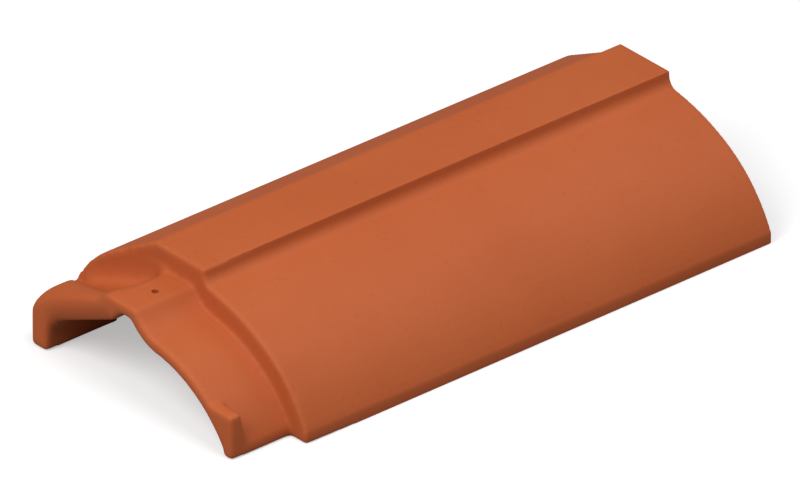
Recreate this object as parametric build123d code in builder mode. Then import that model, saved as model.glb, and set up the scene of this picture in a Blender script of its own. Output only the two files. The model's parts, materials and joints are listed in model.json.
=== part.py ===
"""Interlocking clay ridge tile: one fired piece with a raised top band, a stepped-down neck and a rounded roll.

X runs across the tile, Y along it from the neck end to the tail end, and Z is up.
The origin is on the ground, under the middle of the tile's box.
"""
import os
from math import cos, radians, sin, tan

from build123d import *

# Whole tile, in millimetres
TILE_LENGTH = 450
TILE_WIDTH = 216
TILE_HEIGHT = 86

# Main shell
SHELL_WALL = 12
BAND_WIDTH = 49
BAND_TO_LEFT_FACE = 66
BAND_STEP = 10.7
BAND_STEP_FILLET = 8.5
CROWN_START_SLOPE = 7
CROWN_BREAK_SLOPE = 28
CROWN_TOP_RADIUS = 155.6
SKIRT_HEIGHT = 8
FLANK_SLOPE = 28.5
FLANK_RADIUS = 62

# Oblique ends of the left flank, as setback per millimetre away from the band
FLANK_HEAD_SKEW = 0.25
FLANK_TAIL_SKEW = 0.165
TAIL_RELIEF = 18

# Neck that slides under the tail of the next tile
NECK_LENGTH = 50
NECK_WALL = 9.5
NECK_DROP = 16
NECK_BAND_LEFT_INSET = 10
NECK_BAND_RIGHT_INSET = 10.5
NECK_BAND_RIGHT_SLOPE = 50
NECK_CROWN_DROP = 29.9
NECK_CROWN_FILLET = 29
NECK_CROWN_RADIUS = 101.7
NECK_SIDE_GAP = 15.5
NECK_SKIRT_HEIGHT = 7

# Roll: the neck's left side, a rounded lip with a lower deck behind it
ROLL_RISE_SLOPE = 38
ROLL_CREST_DROP = 23.5
ROLL_CREST_SLOPE = 18
ROLL_SHOULDER_RADIUS = 26
ROLL_SETBACK = 5
ROLL_SWEEP = 14
ROLL_NOSE_RADIUS = 20.4
ROLL_FRONT_REACH = 16
DECK_DROP = 5.5

# Underside of the roll, and the wide bevel that raises its mouth
LEG_WALL = 15.7
VAULT_SLOPE = 24
VAULT_KNEE_INSET = 12
VAULT_KNEE_DROP = 36.5
VAULT_RISE_SLOPE = 42
VAULT_FILLET = 20
LIP_RISE = 10
LIP_DEPTH = 4

# Lug at the foot of the neck's right side
LUG_LENGTH = 16
LUG_TOP_LENGTH = 9.5
LUG_HEIGHT = 32

# Softened edges at the neck end
MOUTH_BEVEL = 1.5
LEG_ROUND = 2

# Nail hole through the neck's band
NAIL_HOLE_RADIUS = 2.5
NAIL_HOLE_FROM_END = 26.7
NAIL_HOLE_FROM_BAND = 28.3

# Places worked out from the sizes above
left_face = -TILE_WIDTH / 2
right_face = TILE_WIDTH / 2
head_end = -TILE_LENGTH / 2
tail_end = TILE_LENGTH / 2
riser = head_end + NECK_LENGTH
flank_lead = FLANK_HEAD_SKEW * BAND_TO_LEFT_FACE
band_left = left_face + BAND_TO_LEFT_FACE
band_right = band_left + BAND_WIDTH
neck_right = right_face - NECK_SIDE_GAP
neck_top = TILE_HEIGHT - NECK_DROP
neck_band_left = band_left + NECK_BAND_LEFT_INSET
crest_z = TILE_HEIGHT - ROLL_CREST_DROP
crest_x = neck_band_left - (neck_top - crest_z) / tan(radians(ROLL_RISE_SLOPE))
knee_x = band_left + VAULT_KNEE_INSET
knee_z = TILE_HEIGHT - VAULT_KNEE_DROP
head_plane = Plane(origin=(0, head_end, 0), x_dir=(1, 0, 0), z_dir=(0, -1, 0))


def shell_outline(below):
    """Outer outline of the main shell, closed at the given depth below the ground."""
    slope = radians(FLANK_SLOPE)
    straight = (BAND_TO_LEFT_FACE - FLANK_RADIUS * (1 - sin(slope))) / cos(slope)
    flank_x = band_left - straight * cos(slope)
    flank_z = TILE_HEIGHT - straight * sin(slope)
    flank_foot = (left_face, flank_z - FLANK_RADIUS * cos(slope))
    start = radians(CROWN_START_SLOPE)
    step_foot = (band_right, TILE_HEIGHT - BAND_STEP)
    with BuildSketch(head_plane, mode=Mode.PRIVATE) as outline:
        with BuildLine():
            Line((left_face, -below), flank_foot)
            RadiusArc(flank_foot, (flank_x, flank_z), FLANK_RADIUS)
            Polyline((flank_x, flank_z), (band_left, TILE_HEIGHT), (band_right, TILE_HEIGHT), step_foot)
            crown = JernArc(
                start=step_foot,
                tangent=(cos(start), -sin(start)),
                radius=CROWN_TOP_RADIUS,
                arc_size=CROWN_START_SLOPE - CROWN_BREAK_SLOPE,
            )
            TangentArc(crown @ 1, (right_face, SKIRT_HEIGHT), tangent=crown % 1)
            Polyline((right_face, SKIRT_HEIGHT), (right_face, -below), (left_face, -below))
        make_face()
        fillet(outline.vertices().sort_by_distance(step_foot)[0], radius=BAND_STEP_FILLET)
    return outline.sketch


def neck_outline(below):
    """Outer outline of the neck, closed at the given depth below the ground."""
    shoulder = (left_face, crest_z - (crest_x - left_face) * tan(radians(ROLL_CREST_SLOPE)))
    band_edge = band_right - NECK_BAND_RIGHT_INSET
    crown_z = TILE_HEIGHT - NECK_CROWN_DROP
    crown_foot = (band_edge + (neck_top - crown_z) / tan(radians(NECK_BAND_RIGHT_SLOPE)), crown_z)
    with BuildSketch(head_plane, mode=Mode.PRIVATE) as outline:
        with BuildLine():
            Polyline(
                (left_face, -below),
                shoulder,
                (crest_x, crest_z),
                (neck_band_left, neck_top),
                (band_edge, neck_top),
                crown_foot,
            )
            RadiusArc(crown_foot, (neck_right, NECK_SKIRT_HEIGHT), NECK_CROWN_RADIUS)
            Polyline((neck_right, NECK_SKIRT_HEIGHT), (neck_right, -below), (left_face, -below))
        make_face()
        fillet(outline.vertices().sort_by_distance(shoulder)[0], radius=ROLL_SHOULDER_RADIUS)
        fillet(outline.vertices().sort_by_distance(crown_foot)[0], radius=NECK_CROWN_FILLET)
    return outline.sketch


def arch_outline(rise):
    """Outline of the space under the roll, down to the ground, with its ceiling raised by this much."""
    leg_inside = left_face + LEG_WALL
    corner = (leg_inside, knee_z + rise - (knee_x - leg_inside) * tan(radians(VAULT_SLOPE)))
    with BuildSketch(head_plane, mode=Mode.PRIVATE) as outline:
        with BuildLine():
            Polyline((leg_inside, 0), corner, (knee_x, knee_z + rise), (knee_x, 0), close=True)
        make_face()
        fillet(outline.vertices().sort_by_distance(corner)[0], radius=VAULT_FILLET)
    return outline.sketch


def hollow(outline, wall):
    """Face of the space under an outline whose wall is this thick."""
    return offset(outline, amount=-wall, kind=Kind.ARC, mode=Mode.PRIVATE)


with BuildPart() as neck:
    with BuildSketch(head_plane):
        add(neck_outline(0))
    extrude(amount=-NECK_LENGTH)
    leg_edges = neck.edges().filter_by(Axis.Z).filter_by_position(Axis.Y, head_end, head_end)
    fillet(leg_edges.sort_by(Axis.X)[0], radius=LEG_ROUND)
    # The roll's crest falls away to the left and runs back from the head
    roll_plane = Plane(
        origin=(crest_x, head_end + ROLL_SETBACK, crest_z),
        x_dir=(-tan(radians(ROLL_SWEEP)), -1, 0),
        z_dir=(-1, tan(radians(ROLL_SWEEP)), -tan(radians(ROLL_CREST_SLOPE))),
    )
    nose_drop = ROLL_NOSE_RADIUS - (ROLL_NOSE_RADIUS**2 - ROLL_FRONT_REACH**2) ** 0.5
    deck_reach = (ROLL_NOSE_RADIUS**2 - (ROLL_NOSE_RADIUS - DECK_DROP) ** 2) ** 0.5
    # Beyond the arc the front runs on straight, at the arc's own slope
    nose_slope = ROLL_FRONT_REACH / (ROLL_NOSE_RADIUS - nose_drop)
    front = (NECK_LENGTH, -nose_drop - (NECK_LENGTH - ROLL_FRONT_REACH) * nose_slope)
    with BuildSketch(roll_plane):
        with BuildLine():
            ThreePointArc((ROLL_FRONT_REACH, -nose_drop), (0, 0), (-deck_reach, -DECK_DROP))
            Polyline(
                (-deck_reach, -DECK_DROP),
                (-2 * NECK_LENGTH, -DECK_DROP),
                (-2 * NECK_LENGTH, NECK_LENGTH),
                (NECK_LENGTH, NECK_LENGTH),
                front,
                (ROLL_FRONT_REACH, -nose_drop),
            )
        make_face()
    extrude(amount=2 * BAND_TO_LEFT_FACE, mode=Mode.SUBTRACT)
    # Behind the oblique face of the left flank there is only shell
    with BuildSketch(Plane.XY):
        with BuildLine():
            Polyline((band_left, riser), (left_face, riser - flank_lead), (left_face, riser), close=True)
        make_face()
    extrude(amount=TILE_HEIGHT, mode=Mode.SUBTRACT)
    # Lug that thickens the foot of the right side out to the skirt
    lug_plane = Plane(origin=(neck_right, head_end, 0), x_dir=(0, 1, 0), z_dir=(1, 0, 0))
    with BuildSketch(lug_plane):
        with BuildLine():
            Polyline((0, 0), (LUG_LENGTH, 0), (LUG_TOP_LENGTH, LUG_HEIGHT), (0, LUG_HEIGHT), close=True)
        make_face()
    extrude(amount=-(neck_right - band_right))

with BuildPart() as roof_tile:
    # Main shell, full section, from the foremost corner of the left flank to the tail
    with BuildSketch(head_plane.offset(-(NECK_LENGTH - flank_lead))):
        add(shell_outline(0))
    extrude(amount=-(TILE_LENGTH - NECK_LENGTH + flank_lead))
    # The head end is square across the band and crown and runs forward over the left flank
    with BuildSketch(Plane.XY):
        with BuildLine():
            Polyline(
                (left_face, riser - flank_lead),
                (band_left, riser),
                (right_face, riser),
                (right_face, head_end),
                (left_face, head_end),
                close=True,
            )
        make_face()
    extrude(amount=TILE_HEIGHT, mode=Mode.SUBTRACT)
    # The left flank stops short of the tail beside the band
    relief_y = tail_end - TAIL_RELIEF
    with BuildSketch(Plane.XY):
        with BuildLine():
            Polyline(
                (band_left, relief_y),
                (left_face, relief_y + FLANK_TAIL_SKEW * BAND_TO_LEFT_FACE),
                (left_face, tail_end),
                (band_left, tail_end),
                close=True,
            )
        make_face()
    extrude(amount=TILE_HEIGHT, mode=Mode.SUBTRACT)
    add(neck.part)
    # Underside of the neck, with thicker clay over the roll's vault; it ends one wall behind the riser
    rise_run = (TILE_HEIGHT - knee_z) / tan(radians(VAULT_RISE_SLOPE))
    with BuildSketch(head_plane):
        add(hollow(neck_outline(NECK_WALL), NECK_WALL))
        with BuildLine():
            Polyline(
                (left_face, 0),
                (knee_x, 0),
                (knee_x, knee_z),
                (knee_x + rise_run, TILE_HEIGHT),
                (left_face, TILE_HEIGHT),
                close=True,
            )
        make_face(mode=Mode.SUBTRACT)
        add(arch_outline(0))
    extrude(amount=-(NECK_LENGTH + SHELL_WALL), mode=Mode.SUBTRACT)
    # Small bevel along the mouth from the band down to the lug, wide bevel under the roll
    mouth = roof_tile.edges(Select.LAST).filter_by_position(Axis.Y, head_end, head_end)
    crown_mouth = mouth.filter_by(lambda edge: edge.center().X > knee_x and edge.center().Z > NECK_WALL)
    chamfer(crown_mouth, length=MOUTH_BEVEL)
    with BuildSketch(head_plane):
        add(arch_outline(LIP_RISE))
    with BuildSketch(head_plane.offset(-LIP_DEPTH)):
        add(arch_outline(0))
    loft(mode=Mode.SUBTRACT)
    with BuildSketch(head_plane.offset(-(NECK_LENGTH + SHELL_WALL))):
        add(hollow(shell_outline(SHELL_WALL), SHELL_WALL))
    extrude(amount=-(TILE_LENGTH - NECK_LENGTH - SHELL_WALL), mode=Mode.SUBTRACT)
    with Locations((band_left + NAIL_HOLE_FROM_BAND, head_end + NAIL_HOLE_FROM_END, neck_top)):
        Hole(radius=NAIL_HOLE_RADIUS, depth=NECK_WALL)

roof_tile.part.label = "roof_tile"

os.makedirs("parts", exist_ok=True)
export_step(roof_tile.part, "parts/roof_tile.step")
print("roof_tile volume", round(roof_tile.part.volume / 1000), "cm3, solids", len(roof_tile.part.solids()))
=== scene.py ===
"""Interlocking clay ridge tile in a plain studio: its fired finish, the floor, the light and the camera."""
import json
import logging
import math
from dataclasses import dataclass, field
from enum import Enum

import bmesh
import bpy
from mathutils import Matrix, Vector


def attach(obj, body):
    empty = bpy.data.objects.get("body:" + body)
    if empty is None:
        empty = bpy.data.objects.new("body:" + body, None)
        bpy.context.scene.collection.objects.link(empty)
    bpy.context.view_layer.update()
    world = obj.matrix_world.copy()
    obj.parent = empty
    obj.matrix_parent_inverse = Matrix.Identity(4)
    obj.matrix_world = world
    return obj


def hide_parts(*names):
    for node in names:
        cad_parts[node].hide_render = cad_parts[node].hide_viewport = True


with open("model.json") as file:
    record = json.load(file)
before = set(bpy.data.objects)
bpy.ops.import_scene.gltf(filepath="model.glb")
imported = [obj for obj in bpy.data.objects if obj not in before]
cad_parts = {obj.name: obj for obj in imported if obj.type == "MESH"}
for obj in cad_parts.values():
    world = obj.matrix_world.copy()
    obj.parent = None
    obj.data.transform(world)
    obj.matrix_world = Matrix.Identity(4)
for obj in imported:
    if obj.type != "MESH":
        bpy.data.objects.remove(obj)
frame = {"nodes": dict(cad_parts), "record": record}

log = logging.getLogger("roof_tile")

TILE_NODE = "roof_tile"
TILE_BODY = "root"
PHOTO_WIDTH = 800
PHOTO_HEIGHT = 504

Colour = tuple[float, float, float]


class Lamp(Enum):
    """The studio's soft lamps, each named for the side it stands on."""

    KEY = "key"
    FRONT = "front"
    LOW = "low"
    BACK = "back"


def srgb(red: int, green: int, blue: int) -> Colour:
    """Turn a colour written as 0 to 255 into the linear values that shaders take.

    Args:
        red: Red, 0 to 255.
        green: Green, 0 to 255.
        blue: Blue, 0 to 255.

    Returns:
        The linear red, green and blue.
    """
    def linear(value: int) -> float:
        """One channel, from display to linear."""
        share = value / 255
        return share / 12.92 if share <= 0.04045 else ((share + 0.055) / 1.055) ** 2.4

    return linear(red), linear(green), linear(blue)


@dataclass(frozen=True)
class FiredClay:
    """Matt unglazed terracotta: an even orange body with faint clouds, fine grain and pin holes, whose low
    spots carry painted shade.
    """

    body: Colour = srgb(190, 93, 46)
    pale: Colour = srgb(193, 97, 50)
    dark: Colour = srgb(186, 90, 43)
    roughness: float = 0.64
    gloss: float = 0.35
    cloud_scale: float = 9.0
    grain_scale: float = 900.0
    pit_scale: float = 260.0

    def material(self) -> bpy.types.Material:
        """Build the node material.

        Returns:
            The terracotta, patterned on Object coordinates.
        """
        clay = bpy.data.materials.new("fired_clay")
        clay.use_nodes = True
        tree = clay.node_tree
        shader = tree.nodes["Principled BSDF"]
        place = tree.nodes.new("ShaderNodeTexCoord")
        clouds = self._noise(tree, place, self.cloud_scale, detail=5.0, rough=0.55)
        pit_noise = self._noise(tree, place, self.pit_scale, detail=3.0, rough=0.6)
        grain = self._noise(tree, place, self.grain_scale, detail=2.0, rough=0.5)

        tint = self._ramp(tree, [(0.30, self.dark), (0.5, self.body), (0.72, self.pale)])
        tree.links.new(clouds.outputs["Fac"], tint.inputs["Fac"])
        # Painted shade: the low spots of the pin holes, the same ones the pit bump sinks, are darkened to
        # 0.86 grey.
        pit_shade = self._ramp(tree, [(0.30, (0.86, 0.86, 0.86)), (0.42, (1.0, 1.0, 1.0))])
        tree.links.new(pit_noise.outputs["Fac"], pit_shade.inputs["Fac"])
        # Half of the painted shade in the pin holes is multiplied into the clay's colour.
        blend = tree.nodes.new("ShaderNodeMix")
        blend.data_type = "RGBA"
        blend.blend_type = "MULTIPLY"
        blend.inputs["Factor"].default_value = 0.5
        tree.links.new(tint.outputs["Color"], blend.inputs["A"])
        tree.links.new(pit_shade.outputs["Color"], blend.inputs["B"])
        tree.links.new(blend.outputs["Result"], shader.inputs["Base Color"])

        rough = tree.nodes.new("ShaderNodeMapRange")
        rough.inputs["To Min"].default_value = self.roughness - 0.06
        rough.inputs["To Max"].default_value = self.roughness + 0.08
        tree.links.new(pit_noise.outputs["Fac"], rough.inputs["Value"])
        tree.links.new(rough.outputs["Result"], shader.inputs["Roughness"])
        shader.inputs["Specular IOR Level"].default_value = self.gloss

        fine = self._bump(tree, grain, strength=0.12, distance=0.0004)
        pits = self._bump(tree, pit_noise, strength=0.10, distance=0.0008)
        tree.links.new(fine.outputs["Normal"], pits.inputs["Normal"])
        tree.links.new(pits.outputs["Normal"], shader.inputs["Normal"])
        return clay

    @staticmethod
    def _noise(
        tree: bpy.types.NodeTree, place: bpy.types.Node, scale: float, detail: float, rough: float
    ) -> bpy.types.Node:
        """Add a noise texture on Object coordinates.

        Args:
            tree: The material's nodes.
            place: The texture coordinate node.
            scale: Repeats in a metre.
            detail: Octaves.
            rough: How strong the fine octaves are.

        Returns:
            The noise node.
        """
        noise = tree.nodes.new("ShaderNodeTexNoise")
        noise.inputs["Scale"].default_value = scale
        noise.inputs["Detail"].default_value = detail
        noise.inputs["Roughness"].default_value = rough
        tree.links.new(place.outputs["Object"], noise.inputs["Vector"])
        return noise

    @staticmethod
    def _ramp(tree: bpy.types.NodeTree, stops: list[tuple[float, Colour]]) -> bpy.types.Node:
        """Add a colour ramp.

        Args:
            tree: The material's nodes.
            stops: Positions from 0 to 1, each with its colour.

        Returns:
            The ramp node.
        """
        ramp = tree.nodes.new("ShaderNodeValToRGB")
        elements = ramp.color_ramp.elements
        while len(elements) < len(stops):
            elements.new(0.5)
        for element, (position, colour) in zip(elements, stops):
            element.position = position
            element.color = (*colour, 1.0)
        return ramp

    @staticmethod
    def _bump(
        tree: bpy.types.NodeTree, height: bpy.types.Node, strength: float, distance: float
    ) -> bpy.types.Node:
        """Add a bump node fed by a noise.

        Args:
            tree: The material's nodes.
            height: The noise node.
            strength: Share of the relief that shows.
            distance: Depth of the relief, in metres.

        Returns:
            The bump node.
        """
        bump = tree.nodes.new("ShaderNodeBump")
        bump.inputs["Strength"].default_value = strength
        bump.inputs["Distance"].default_value = distance
        tree.links.new(height.outputs["Fac"], bump.inputs["Height"])
        return bump


@dataclass
class RoofTile:
    """The fired piece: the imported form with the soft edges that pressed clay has."""

    finish: FiredClay = field(default_factory=FiredClay)
    mesh_depth: int = 8
    mesh_fill: float = 0.92
    passes: int = 1
    neck_passes: int = 4
    neck_reach: float = 0.056
    neck_fade: float = 0.012
    end_passes: int = 3
    end_reach: float = 0.012
    deck_passes: int = 70
    weld: float = 0.00001
    crisp_angle: float = math.radians(50)
    hole_sides: int = 48

    def build(self) -> bpy.types.Object:
        """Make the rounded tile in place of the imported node.

        Returns:
            The tile that shows.
        """
        holes = [mount for mount in frame["record"]["mounts"] if mount["kind"] == "bore"]
        mesh = self._even_mesh(holes)
        shape = bmesh.new()
        shape.from_mesh(mesh)
        self._soften(shape)
        shape.to_mesh(mesh)
        shape.free()
        for hole in holes:
            mesh = self._drill(mesh, hole)
        mesh.name = "fired_tile"
        mesh.shade_smooth()
        mesh.set_sharp_from_angle(angle=self.crisp_angle)
        mesh.materials.clear()
        mesh.materials.append(self.finish.material())
        tile = bpy.data.objects.new("fired_tile", mesh)
        bpy.context.scene.collection.objects.link(tile)
        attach(tile, TILE_BODY)
        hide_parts(TILE_NODE)
        log.info("tile built of %d triangles", sum(len(face.vertices) - 2 for face in mesh.polygons))
        return tile

    def _even_mesh(self, holes: list[dict]) -> bpy.types.Mesh:
        """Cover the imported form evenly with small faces, with its edges kept and its bores filled.

        Args:
            holes: The record's bores.

        Returns:
            A new mesh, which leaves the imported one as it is.
        """
        shape = bmesh.new()
        shape.from_mesh(frame["nodes"][TILE_NODE].data)
        bmesh.ops.remove_doubles(shape, verts=shape.verts, dist=self.weld)
        for hole in holes:
            wall = [face for face in shape.faces if all(self._in_hole(vertex, hole) for vertex in face.verts)]
            bmesh.ops.delete(shape, geom=wall, context="FACES")
        bmesh.ops.holes_fill(shape, edges=shape.edges, sides=0)
        mesh = bpy.data.meshes.new("cast")
        shape.to_mesh(mesh)
        shape.free()
        cast = bpy.data.objects.new("cast", mesh)
        remesh = cast.modifiers.new("even", "REMESH")
        remesh.mode = "SHARP"
        remesh.octree_depth = self.mesh_depth
        remesh.scale = self.mesh_fill
        remesh.sharpness = 1.0
        return self._result(cast)

    def _drill(self, mesh: bpy.types.Mesh, hole: dict) -> bpy.types.Mesh:
        """Cut a bore at its recorded place and size.

        Args:
            mesh: The softened tile, which is used up.
            hole: The record's bore, which runs up and down.

        Returns:
            The tile with the bore in it.
        """
        radius = hole["dims"]["r_mm"] / 1000
        bit_mesh = bpy.data.meshes.new("bit")
        shape = bmesh.new()
        bmesh.ops.create_cone(
            shape,
            cap_ends=True,
            segments=self.hole_sides,
            radius1=radius,
            radius2=radius,
            depth=4 * hole["dims"]["length_mm"] / 1000,
            matrix=Matrix.Translation(hole["pos_m"]),
        )
        shape.to_mesh(bit_mesh)
        shape.free()
        bit = bpy.data.objects.new("bit", bit_mesh)
        bpy.context.scene.collection.objects.link(bit)
        clay = bpy.data.objects.new("clay", mesh)
        cut = clay.modifiers.new("bore", "BOOLEAN")
        cut.operation = "DIFFERENCE"
        cut.solver = "EXACT"
        cut.object = bit
        bored = self._result(clay)
        bpy.data.meshes.remove(bit_mesh)
        return bored

    @staticmethod
    def _result(carrier: bpy.types.Object) -> bpy.types.Mesh:
        """Take the mesh that an object's modifiers make, and clear the object away.

        Args:
            carrier: The object with its modifiers.

        Returns:
            The finished mesh.
        """
        bpy.context.scene.collection.objects.link(carrier)
        graph = bpy.context.evaluated_depsgraph_get()
        mesh = bpy.data.meshes.new_from_object(carrier.evaluated_get(graph))
        bpy.data.meshes.remove(carrier.data)
        return mesh

    def _soften(self, shape: bmesh.types.BMesh) -> None:
        """Smooth the edges: everywhere a little, and more towards the neck end.

        Args:
            shape: The tile's even form.
        """
        head_end = min(vertex.co.y for vertex in shape.verts)
        reaches = [self.neck_reach + turn * self.neck_fade for turn in range(self.neck_passes)]
        necks = [[vertex for vertex in shape.verts if vertex.co.y < head_end + reach] for reach in reaches]
        mouth = [vertex for vertex in shape.verts if vertex.co.y < head_end + self.end_reach]
        deck = [vertex for vertex in shape.verts if self._on_deck(vertex)]
        zones = (
            (shape.verts, self.passes),
            *((neck, 1) for neck in necks),
            (mouth, self.end_passes),
            (deck, self.deck_passes),
        )
        for group, passes in zones:
            for _ in range(passes):
                bmesh.ops.smooth_vert(
                    shape, verts=group, factor=0.5, use_axis_x=True, use_axis_y=True, use_axis_z=True
                )

    @staticmethod
    def _on_deck(vertex: bmesh.types.BMVert) -> bool:
        """Whether a point lies in the hollow behind the neck's roll, below the flank's end."""
        x, y, z = vertex.co
        flank_top = 0.086 + (x + 0.042) * 0.54
        roll_back = -0.188 - (x + 0.100) * 0.38
        return -0.101 < x < -0.026 and roll_back < y < -0.172 and 0.036 < z < min(flank_top - 0.010, 0.073)

    @staticmethod
    def _in_hole(vertex: bmesh.types.BMVert, hole: dict) -> bool:
        """Whether a point lies on the wall of a bore that runs up and down."""
        across = vertex.co.xy - Vector(hole["pos_m"]).xy
        return across.length * 1000 < hole["dims"]["r_mm"] + 0.1


@dataclass
class StudioFloor:
    """A wide pale floor that shows white to the camera and keeps a soft shadow."""

    half_width: float = 30.0
    colour: Colour = (0.72, 0.72, 0.72)
    bounce: Colour = (0.30, 0.29, 0.28)
    lift: float = 0.42

    def build(self) -> bpy.types.Object:
        """Make the floor.

        Returns:
            The floor object.
        """
        mesh = bpy.data.meshes.new("studio_floor")
        shape = bmesh.new()
        bmesh.ops.create_grid(shape, x_segments=1, y_segments=1, size=self.half_width)
        shape.to_mesh(mesh)
        shape.free()
        floor = bpy.data.objects.new("studio_floor", mesh)
        bpy.context.scene.collection.objects.link(floor)
        mesh.materials.append(self._material())
        log.info("floor laid")
        return floor

    def _material(self) -> bpy.types.Material:
        """Paint for the floor: pale to the camera, duller where it lights the tile."""
        paint = bpy.data.materials.new("studio_floor")
        paint.use_nodes = True
        tree = paint.node_tree
        shader = tree.nodes["Principled BSDF"]
        output = tree.nodes["Material Output"]
        shader.inputs["Base Color"].default_value = (*self.colour, 1.0)
        shader.inputs["Roughness"].default_value = 0.9
        shader.inputs["Specular IOR Level"].default_value = 0.0
        shader.inputs["Emission Color"].default_value = (1.0, 1.0, 1.0, 1.0)
        shader.inputs["Emission Strength"].default_value = self.lift
        matt = tree.nodes.new("ShaderNodeBsdfDiffuse")
        matt.inputs["Color"].default_value = (*self.bounce, 1.0)
        path = tree.nodes.new("ShaderNodeLightPath")
        choose = tree.nodes.new("ShaderNodeMixShader")
        tree.links.new(path.outputs["Is Camera Ray"], choose.inputs["Fac"])
        tree.links.new(matt.outputs["BSDF"], choose.inputs[1])
        tree.links.new(shader.outputs["BSDF"], choose.inputs[2])
        tree.links.new(choose.outputs["Shader"], output.inputs["Surface"])
        return paint


@dataclass
class StudioLight:
    """Soft lamps round the tile and an even sky."""

    sky: float = 0.18
    distance: float = 2.6
    lamp_size: float = 1.6
    powers: dict[Lamp, float] = field(
        default_factory=lambda: {Lamp.KEY: 26.0, Lamp.FRONT: 35.0, Lamp.LOW: 8.0, Lamp.BACK: 10.0}
    )
    directions: dict[Lamp, Vector] = field(
        default_factory=lambda: {
            Lamp.KEY: Vector((0.5, 0.0, 0.87)),
            Lamp.FRONT: Vector((0.0, -0.64, 0.77)),
            Lamp.LOW: Vector((0.0, -0.94, 0.34)),
            Lamp.BACK: Vector((0.0, 0.7, 0.7)),
        }
    )

    def build(self) -> None:
        """Hang the lamps and light the sky."""
        self._light_sky()
        for lamp in Lamp:
            self._hang(lamp)
        log.info("studio lit")

    def _light_sky(self) -> None:
        """Give the world an even light that shows white to the camera."""
        world = bpy.data.worlds.new("studio_sky")
        bpy.context.scene.world = world
        world.use_nodes = True
        tree = world.node_tree
        tree.nodes.clear()
        soft = tree.nodes.new("ShaderNodeBackground")
        soft.inputs["Strength"].default_value = self.sky
        white = tree.nodes.new("ShaderNodeBackground")
        path = tree.nodes.new("ShaderNodeLightPath")
        choose = tree.nodes.new("ShaderNodeMixShader")
        output = tree.nodes.new("ShaderNodeOutputWorld")
        for background in (soft, white):
            background.inputs["Color"].default_value = (1.0, 1.0, 1.0, 1.0)
        tree.links.new(path.outputs["Is Camera Ray"], choose.inputs["Fac"])
        tree.links.new(soft.outputs["Background"], choose.inputs[1])
        tree.links.new(white.outputs["Background"], choose.inputs[2])
        tree.links.new(choose.outputs["Shader"], output.inputs["Surface"])

    def _hang(self, lamp: Lamp) -> None:
        """Hang one lamp.

        Args:
            lamp: Which lamp.
        """
        light = bpy.data.lights.new(f"{lamp.value}_lamp", "AREA")
        light.shape = "DISK"
        light.size = self.lamp_size
        light.energy = self.powers[lamp]
        holder = bpy.data.objects.new(f"{lamp.value}_lamp", light)
        direction = self.directions[lamp].normalized()
        turn = (-direction).to_track_quat("-Z", "Y")
        holder.matrix_world = Matrix.Translation(direction * self.distance) @ turn.to_matrix().to_4x4()
        bpy.context.scene.collection.objects.link(holder)


@dataclass
class PhotoCamera:
    """A long lens at the photograph's angle, which sees the tile almost in parallel projection."""

    right: Vector = field(default_factory=lambda: Vector((0.6534, 0.7570, 0.0)))
    up: Vector = field(default_factory=lambda: Vector((-0.3762, 0.3247, 0.8678)))
    target: Vector = field(default_factory=lambda: Vector((-0.0110, 0.0076, 0.0233)))
    metres_across: float = 0.5198
    lens: float = 1050.0

    def build(self) -> bpy.types.Object:
        """Place the camera and make it the scene's own.

        Returns:
            The camera object.
        """
        optics = bpy.data.cameras.new("photo_camera")
        optics.lens = self.lens
        distance = self.metres_across * self.lens / optics.sensor_width
        optics.clip_end = distance * 2
        back = self.right.cross(self.up).normalized()
        up = back.cross(self.right).normalized()
        turn = Matrix((self.right.normalized(), up, back)).transposed().to_4x4()
        camera = bpy.data.objects.new("photo_camera", optics)
        camera.matrix_world = Matrix.Translation(self.target + back * distance) @ turn
        bpy.context.scene.collection.objects.link(camera)
        bpy.context.scene.camera = camera
        log.info("camera placed %.2f m away", distance)
        return camera


def main() -> None:
    """Dress the tile and build the studio round it."""
    logging.basicConfig(level=logging.INFO, format="%(name)s: %(message)s")
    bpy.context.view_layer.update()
    bpy.context.scene.view_settings.view_transform = "Standard"
    PhotoCamera().build()
    RoofTile().build()
    StudioFloor().build()
    StudioLight().build()


if __name__ == "__main__":
    main()
